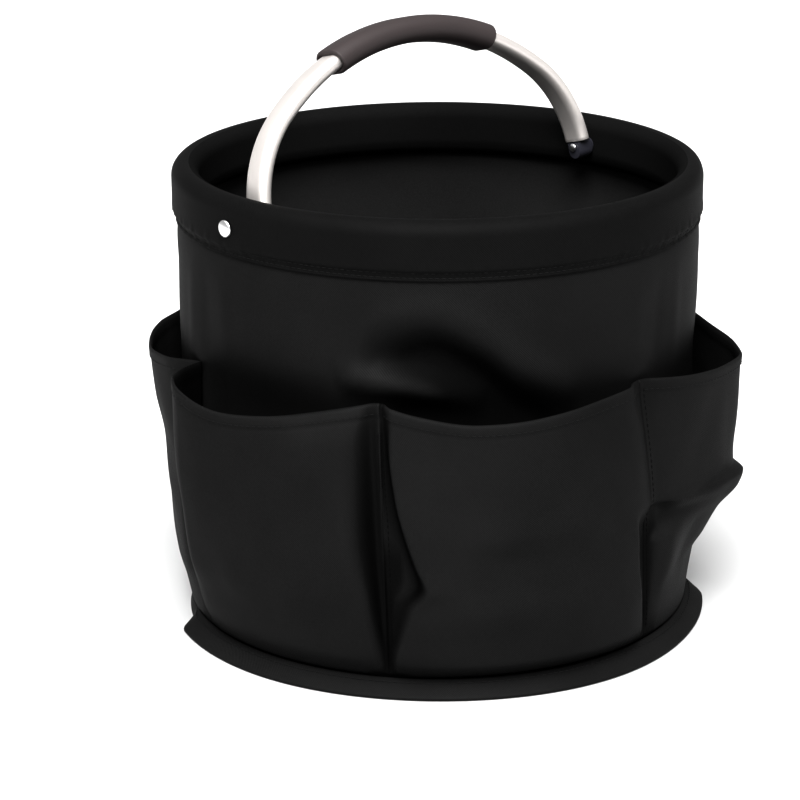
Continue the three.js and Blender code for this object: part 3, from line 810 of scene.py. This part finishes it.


def cloth_material(name, dark, light, weave_size, gleam, mapped=True):
    """Twill: fine slanting ribs of thread, broken up where the threads cross. dark and light are
    greys, weave_size is (distance between ribs, their height, roughness), and a piece that isn't
    mapped is level and takes its weave from its x and y."""
    pitch, depth, roughness = weave_size
    material, tree, shader = new_material(name, Roughness=roughness, Specular_IOR_Level=gleam)
    place = tree.nodes.new("ShaderNodeTexCoord").outputs["Object"]
    on_cloth = add_node(tree, "ShaderNodeUVMap", uv_map="cloth").outputs[0] if mapped else place
    split = tree.nodes.new("ShaderNodeSeparateXYZ")
    tree.links.new(on_cloth, split.inputs[0])
    turns = 2 * math.pi / pitch
    u = maths(tree, "MULTIPLY", split.outputs[0], turns)
    v = maths(tree, "MULTIPLY", split.outputs[1], turns)
    rib = maths(tree, "SINE", maths(tree, "ADD", u, v))
    warp = maths(tree, "SINE", maths(tree, "MULTIPLY", u, 2.0))
    weft = maths(tree, "SINE", maths(tree, "MULTIPLY", v, 2.0))
    crossing = maths(tree, "MULTIPLY", warp, weft)
    weave = maths(tree, "ADD", maths(tree, "MULTIPLY", rib, 0.6), maths(tree, "MULTIPLY", crossing, 0.4))
    weave = maths(tree, "ADD", maths(tree, "MULTIPLY", weave, 0.5), 0.5, clamp=True)

    fine, broad = add_noises(tree, place, (900.0, 2.0), (14.0, 3.0))
    shade = maths(tree, "MULTIPLY", weave, maths(tree, "ADD", fine, 0.5))
    shade = maths(tree, "MULTIPLY", shade, maths(tree, "ADD", broad, 0.5), clamp=True)
    # painted shade: the mesh's painted shade amount darkens the cloth's colour, most down in creases
    painted_shade = add_node(tree, "ShaderNodeAttribute", attribute_name="painted_shade").outputs["Fac"]
    lit = maths(tree, "SUBTRACT", 1.0, maths(tree, "MULTIPLY", painted_shade, CREASE_SHADE))
    mix_colours(tree, shader, maths(tree, "MULTIPLY", shade, lit), (dark,) * 3, (light,) * 3)
    height = maths(tree, "ADD", weave, maths(tree, "MULTIPLY", fine, 0.35))
    add_relief(tree, shader, height, 0.6, depth)
    rough = maths(tree, "ADD", maths(tree, "MULTIPLY", weave, -0.08), roughness + 0.04)
    tree.links.new(rough, shader.inputs["Roughness"])
    return material


def speckled(name, colour, roughness, scale, depth, metallic=0.0, vary=0.15, specular=0.5):
    """A moulded, rolled or coated surface: small changes of colour and gloss, and a fine grain."""
    material, tree, shader = new_material(name, Metallic=metallic, Specular_IOR_Level=specular)
    place = tree.nodes.new("ShaderNodeTexCoord").outputs["Object"]
    fine, broad = add_noises(tree, place, (scale, 3.0), (45.0, 2.0))
    blend = maths(tree, "MULTIPLY", maths(tree, "ADD", fine, broad), 0.5)
    low = [c * (1 - vary) for c in colour]
    high = [min(1, c * (1 + vary)) for c in colour]
    mix_colours(tree, shader, blend, low, high)
    gloss = maths(tree, "ADD", maths(tree, "MULTIPLY", broad, 0.12), roughness - 0.06)
    tree.links.new(gloss, shader.inputs["Roughness"])
    add_relief(tree, shader, fine, 0.5, depth)
    return material


# distance between ribs, their height, roughness
TWILL = (1.3 * MM, 0.15 * MM, 0.6)
LINING_WEAVE = (0.7 * MM, 0.05 * MM, 0.85)
outer_cloth = cloth_material("outer_cloth", 0.001, 0.0167, TWILL, 0.07)
under_cloth = cloth_material("under_cloth", 0.001, 0.0167, TWILL, 0.07, mapped=False)
collar_cloth = cloth_material("collar_cloth", 0.001, 0.0108, TWILL, 0.05)
# Painted light and shade: the lining is one cloth, given as a lighter copy for the shaded inside of the
# wall and floor and a darker copy for the lit inner side of the collar.
lining_cloth = cloth_material("lining_cloth", 0.013, 0.033, LINING_WEAVE, 0.0)
floor_lining_lightened_for_shade = cloth_material("floor_lining_lightened_for_shade", 0.013, 0.033, LINING_WEAVE, 0.0, mapped=False)
rim_lining_darkened_for_light = cloth_material("rim_lining_darkened_for_light", 0.0045, 0.0125, LINING_WEAVE, 0.0)
thread = speckled("thread", (0.009,) * 3, 0.8, 2500.0, 0.05 * MM, specular=0.15)
# Painted shade: a darker copy of the thread for the seams' stitches, which lie down in the pockets' shaded
# seam creases.
shaded_seam_thread = speckled("shaded_seam_thread", (0.0025,) * 3, 0.9, 2500.0, 0.05 * MM, specular=0.05)
aluminium = speckled("satin_aluminium", (0.76, 0.725, 0.70), 0.45, 700.0, 0.01 * MM, 0.75, 0.03)
rivet_metal = speckled("rivet_metal", (0.88,) * 3, 0.28, 900.0, 0.01 * MM, 1.0, 0.03)
grip_rubber = speckled("grip_rubber", (0.034, 0.026, 0.026), 0.6, 1400.0, 0.06 * MM)
black_plastic = speckled("black_plastic", (0.026, 0.026, 0.034), 0.40, 1200.0, 0.03 * MM)
board_plastic = speckled("board_plastic", (0.03,) * 3, 0.6, 800.0, 0.05 * MM)

# ---- handle ----


def arch_points(half_span, shift=0.0):
    """The handle's centre line over half_span to each side of shift, with its foot on the rivet axis.
    From the foot up, each half is a tight arc and then the wide one of the crown."""
    steps = 90
    run = SHOULDER_RADIUS * (math.cos(LEG_TILT) - math.cos(SHOULDER_END))
    crown = (HANDLE_SPAN - run) / math.cos(SHOULDER_END)
    half = arc_steps(SHOULDER_RADIUS, LEG_TILT, SHOULDER_END, steps)
    rise = half[-1][1]
    half += [(run + x, rise + z) for x, z in arc_steps(crown, SHOULDER_END, math.pi / 2, steps)[1:]]
    left = np.array([(-HANDLE_SPAN + x, TUBE_START + z) for x, z in half])
    whole = np.concatenate([left, (left * (-1, 1))[-2::-1]])
    travel = travelled(whole)
    ends = np.interp([shift - half_span, shift + half_span], whole[:, 0], travel)
    even = np.linspace(*ends, 161)
    return np.stack([np.interp(even, travel, whole[:, 0]), np.interp(even, travel, whole[:, 1])], 1)


def arc_steps(radius, start, end, steps):
    """Points round an arc, inwards and up from its start. The angles are those of its radius."""
    turns = np.linspace(start, end, steps)
    return [
        (radius * (math.cos(start) - math.cos(a)), radius * (math.sin(a) - math.sin(start))) for a in turns
    ]


def oval_outline(width, depth):
    """A flat oval: two half circles joined by straight lines."""
    end, flat = depth / 2, (width - depth) / 2
    turns = np.linspace(-math.pi / 2, math.pi / 2, 10)
    right = [(flat + end * math.cos(a), end * math.sin(a)) for a in turns]
    left = [(-x, -y) for x, y in right]
    return np.array(right + left)


def swept_tube(name, path, outer, inner, edge, material):
    """A tube of oval section along the arch, hollow, with its end edges rounded by edge."""
    tangent = unit(np.gradient(path, axis=0))
    outline_out, outline_in = oval_outline(*outer), oval_outline(*inner)

    def section(outline, shrink, i, shift):
        size = outline - np.sign(outline) * shrink
        t = tangent[i]
        n = np.array([-t[1], t[0]])
        base = path[i] + t * shift
        return [(base[0] + n[0] * y, x, base[1] + n[1] * y) for x, y in size]

    last = len(path) - 1
    slight = edge * 0.3  # half way round the edge
    shifts = [edge] + [0] * (last - 1) + [-edge]
    rings = [section(outline_out, edge, 0, 0), section(outline_out, slight, 0, slight)]
    rings += [section(outline_out, 0, i, shift) for i, shift in enumerate(shifts)]
    rings += [section(outline_out, slight, last, -slight), section(outline_out, edge, last, 0)]
    rings += [section(outline_in, 0, i, 0) for i in range(last, -1, -1)]
    rings = np.array(rings)
    faces = grid_faces(len(rings), len(outline_out), close_rows=True, close_columns=True)
    return mesh_object(name, rings.reshape(-1, 3), faces, material)


def stand_handle(piece):
    """Leans a piece that was drawn upright, and moves it to the rivets."""
    piece.data.transform(Matrix.Translation(PIVOT) @ Matrix.Rotation(-HANDLE_LEAN, 4, "X"))
    piece.data.update()
    return piece


def fix_normals(piece):
    """Turns the faces of a closed piece to point out of it."""
    work = bmesh.new()
    work.from_mesh(piece.data)
    bmesh.ops.recalc_face_normals(work, faces=work.faces)
    work.to_mesh(piece.data)
    work.free()
    piece.data.update()
    return piece


def apply_modifiers(piece):
    """Makes the piece's modifiers part of its mesh."""
    depsgraph = bpy.context.evaluated_depsgraph_get()
    mesh = bpy.data.meshes.new_from_object(piece.evaluated_get(depsgraph))
    piece.modifiers.clear()
    piece.data = mesh
    mesh.polygons.foreach_set("use_smooth", [True] * len(mesh.polygons))
    return piece


def rounded_copy(node, name, width, material):
    """A copy of a CAD solid with its edges rounded."""
    source = frame["nodes"][node]
    piece = bpy.data.objects.new(name, source.data.copy())
    bpy.context.scene.collection.objects.link(piece)
    piece.matrix_world = source.matrix_world
    piece.data.materials.clear()
    piece.data.materials.append(material)
    work = bmesh.new()
    work.from_mesh(piece.data)
    bmesh.ops.remove_doubles(work, verts=work.verts, dist=1e-6)
    bmesh.ops.dissolve_limit(work, angle_limit=math.radians(3), verts=work.verts, edges=work.edges)
    work.to_mesh(piece.data)
    work.free()
    bevel = piece.modifiers.new("edges", "BEVEL")
    bevel.width = width
    bevel.segments = 3
    bevel.limit_method = "ANGLE"
    bevel.angle_limit = math.radians(28)
    return apply_modifiers(piece)


def build_handle():
    tube_inner = (TUBE_WIDTH - 2 * TUBE_WALL, TUBE_DEPTH - 2 * TUBE_WALL)
    tube_outer = (TUBE_WIDTH, TUBE_DEPTH)
    tube_path = arch_points(HANDLE_SPAN)
    tube = swept_tube("handle_tube_metal", tube_path, tube_outer, tube_inner, 0.25 * MM, aluminium)
    bore = (TUBE_WIDTH + 3 * MM, TUBE_DEPTH + 0.8 * MM)
    grip_path = arch_points(GRIP_HALF_SPAN, GRIP_SHIFT)
    grip_outer = (GRIP_WIDTH, GRIP_DEPTH)
    grip = swept_tube("handle_grip_sleeve", grip_path, grip_outer, bore, 0.7 * MM, grip_rubber)
    for piece, node, slot in ((tube, "handle_tube", "tube"), (grip, "handle_grip", "grip")):
        stand_handle(fix_normals(piece))
        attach(piece, "handle")
        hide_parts(node)
    for side in ("left", "right"):
        foot = rounded_copy(f"handle_foot_{side}", f"foot_moulding_{side}", 0.6 * MM, black_plastic)
        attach(foot, "handle")
        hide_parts(f"handle_foot_{side}")


# ---- rivets ----


def rivet_piece(side):
    """A smooth domed rivet, with a shank and a clenched tail, in place of the faceted one. Its profile
    is a line of (distance from the rivet's axis, distance from the bucket's axis)."""
    low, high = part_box(f"rivet_{side}")
    sign = -1 if side == "left" else 1
    outer = max(abs(low[0]), abs(high[0]))
    inner = min(abs(low[0]), abs(high[0]))
    head = (high[2] - low[2]) / 2
    shank = 1.7 * MM
    tail = 2.5 * MM
    dome_height, tail_height = 1.9 * MM, 0.9 * MM
    seat = outer - 2.4 * MM  # where the head meets the cloth
    crown = seat + 0.5 * MM
    button = inner + tail_height
    quarter = np.linspace(0, math.pi / 2, 12)
    profile = [(head * math.sin(a), crown + dome_height * math.cos(a)) for a in quarter]
    profile += [(head, seat + 0.2 * MM), (head - 0.25 * MM, seat), (shank, seat)]
    profile += [(shank, inner + 1.7 * MM), (tail - 0.1 * MM, inner + 1.7 * MM)]
    profile += [(tail, inner + 1.5 * MM)]
    quarter = np.linspace(math.pi / 2, 0, 8)
    profile += [(tail * math.sin(a), button - tail_height * math.cos(a)) for a in quarter]
    profile = [(max(r, 1e-6), x) for r, x in profile]
    count = 48
    turns = np.arange(count) * 2 * math.pi / count
    vertices = []
    for r, x in profile:
        for a in turns:
            vertices.append((sign * x, PIVOT.y + r * math.cos(a), PIVOT.z + r * math.sin(a)))
    faces = grid_faces(len(profile), count, close_columns=True)
    faces.append(tuple(range(count)))
    faces.append(tuple(range((len(profile) - 1) * count, len(profile) * count))[::-1])
    piece = fix_normals(mesh_object(f"rivet_metal_{side}", vertices, faces, rivet_metal))
    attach(piece, "rim")
    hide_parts(f"rivet_{side}")


# ---- build ----


def soft_on_bucket(piece, nodes):
    """A piece of cloth sewn to the floor: its faces turned outwards, attached to the bucket's body with a
    mesh of its own, and the CAD nodes it stands for hidden.
    """
    fix_normals(piece)
    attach(piece, "bucket")
    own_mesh(piece)
    if nodes:
        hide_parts(*nodes)


def build_bucket():
    wall = wall_sheet("wall_cloth", 0, CLOTH, WALL_FOOT, WALL_TOP, outer_cloth)
    soft_on_bucket(wall, ["body_wall"])
    lining_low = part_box("lining_wall")[0][2]
    lining = wall_sheet("lining_cloth", 1.5 * MM, 0.8 * MM, lining_low, WALL_TOP, lining_cloth)
    soft_on_bucket(lining, ["lining_wall"])
    for index in range(1, 7):
        piece, grid = pocket_piece(index, outer_cloth)
        soft_on_bucket(piece, [f"pocket_{index}"])
        stitch_pocket(index, grid)
    flange = fix_normals(flange_piece(outer_cloth))
    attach(flange, "bucket")
    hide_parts("base_flange")

    def on_flange(angle):
        return FLANGE_ROOT + 4.4 * MM * flange_reach(angle)

    stitches = ring_stitches("flange_stitches", on_flange, 8.3 * MM, FLANGE_SLOPE, thread)
    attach(fix_normals(stitches), "bucket")
    repaint("bottom_panel", under_cloth)
    repaint("lining_floor", floor_lining_lightened_for_shade)
    repaint("base_board", board_plastic)


def stitch_pocket(index, grid):
    """The stitches of the hem, and of the seam at the pocket's left side."""
    normals = surface_normals(grid)
    from_top = travelled(grid[::-1, grid.shape[1] // 2])[::-1]
    row = int(np.argmin(abs(from_top - HEM)))
    hem = stitch_row(f"hem_stitches_{index}", grid[row, 2:-2], normals[row, 2:-2], thread)
    side = stitch_row(f"seam_stitches_{index}", grid[4:-3, 2], normals[4:-3, 2], shaded_seam_thread)
    for piece in (hem, side):
        soft_on_bucket(piece, [])


def repaint(node, material):
    """Gives a CAD node that stays in view its material."""
    for slot in frame["nodes"][node].material_slots:
        slot.material = material


def build_rim():
    collar = fix_normals(collar_piece(collar_cloth))
    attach(collar, "rim")
    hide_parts("rim_collar")
    base = plain_wall_radius(STITCH_Z) + 0.3 * MM + CLOTH
    for k, (row, out) in enumerate(zip(COLLAR_ROWS, (-0.35 * MM, 0.4 * MM))):

        def on_collar(angle, radius=base + out):
            return np.full_like(angle, radius)

        stitches = ring_stitches(f"rim_stitches_{k + 1}", on_collar, row, 0.0, thread)
        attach(fix_normals(stitches), "rim")
    repaint("rim_hoop", aluminium)
    for side in ("left", "right"):
        rivet_piece(side)
        repaint(f"pivot_washer_{side}", black_plastic)


build_bucket()
build_rim()
build_handle()

# ---- stage, light and camera ----


def camera_frame(right, away, z):
    """A place given as right of, away from and above the object's centre, as the camera sees it."""
    turn = math.radians(CAMERA_TURN)
    x = right * math.cos(turn) + away * math.sin(turn)
    y = -right * math.sin(turn) + away * math.cos(turn)
    return Vector((x, y, z))


def build_stage():
    floor_material = speckled("floor_white", (0.52,) * 3, 0.9, 300.0, 0.01 * MM, 0.0, 0.01)
    size = FLOOR_HALF_SIZE
    corners = [(-size, -size, 0), (size, -size, 0), (size, size, 0), (-size, size, 0)]
    mesh_object("floor", corners, [(0, 1, 2, 3)], floor_material)
    world = bpy.data.worlds.new("studio")
    world.use_nodes = True
    world.node_tree.nodes["Background"].inputs[0].default_value = (1, 1, 1, 1)
    world.node_tree.nodes["Background"].inputs[1].default_value = WORLD_LIGHT
    bpy.context.scene.world = world
    for name, side, rise, power, width in SUNS:
        sun = bpy.data.lights.new(name, "SUN")
        sun.energy = power
        sun.angle = math.radians(width)
        lamp = bpy.data.objects.new(name, sun)
        turn = math.radians(side)
        towards = camera_frame(math.sin(turn), -math.cos(turn), math.tan(math.radians(rise)))
        lamp.rotation_euler = (-towards).to_track_quat("-Z", "Y").to_euler()
        bpy.context.scene.collection.objects.link(lamp)
    bpy.context.scene.view_settings.view_transform = "Standard"
    bpy.context.scene.view_settings.gamma = VIEW_GAMMA


def build_camera():
    camera = bpy.data.cameras.new("camera")
    camera.lens = CAMERA_LENS
    camera.sensor_width = 36
    camera.shift_x = CAMERA_SHIFT
    camera.clip_end = 50
    rig = bpy.data.objects.new("camera", camera)
    rig.location = camera_frame(0, -CAMERA_DISTANCE, CAMERA_HEIGHT)
    towards = Vector((0, 0, CAMERA_AIM)) - rig.location
    rig.rotation_euler = towards.to_track_quat("-Z", "Y").to_euler()
    bpy.context.scene.collection.objects.link(rig)
    bpy.context.scene.camera = rig


build_stage()
build_camera()
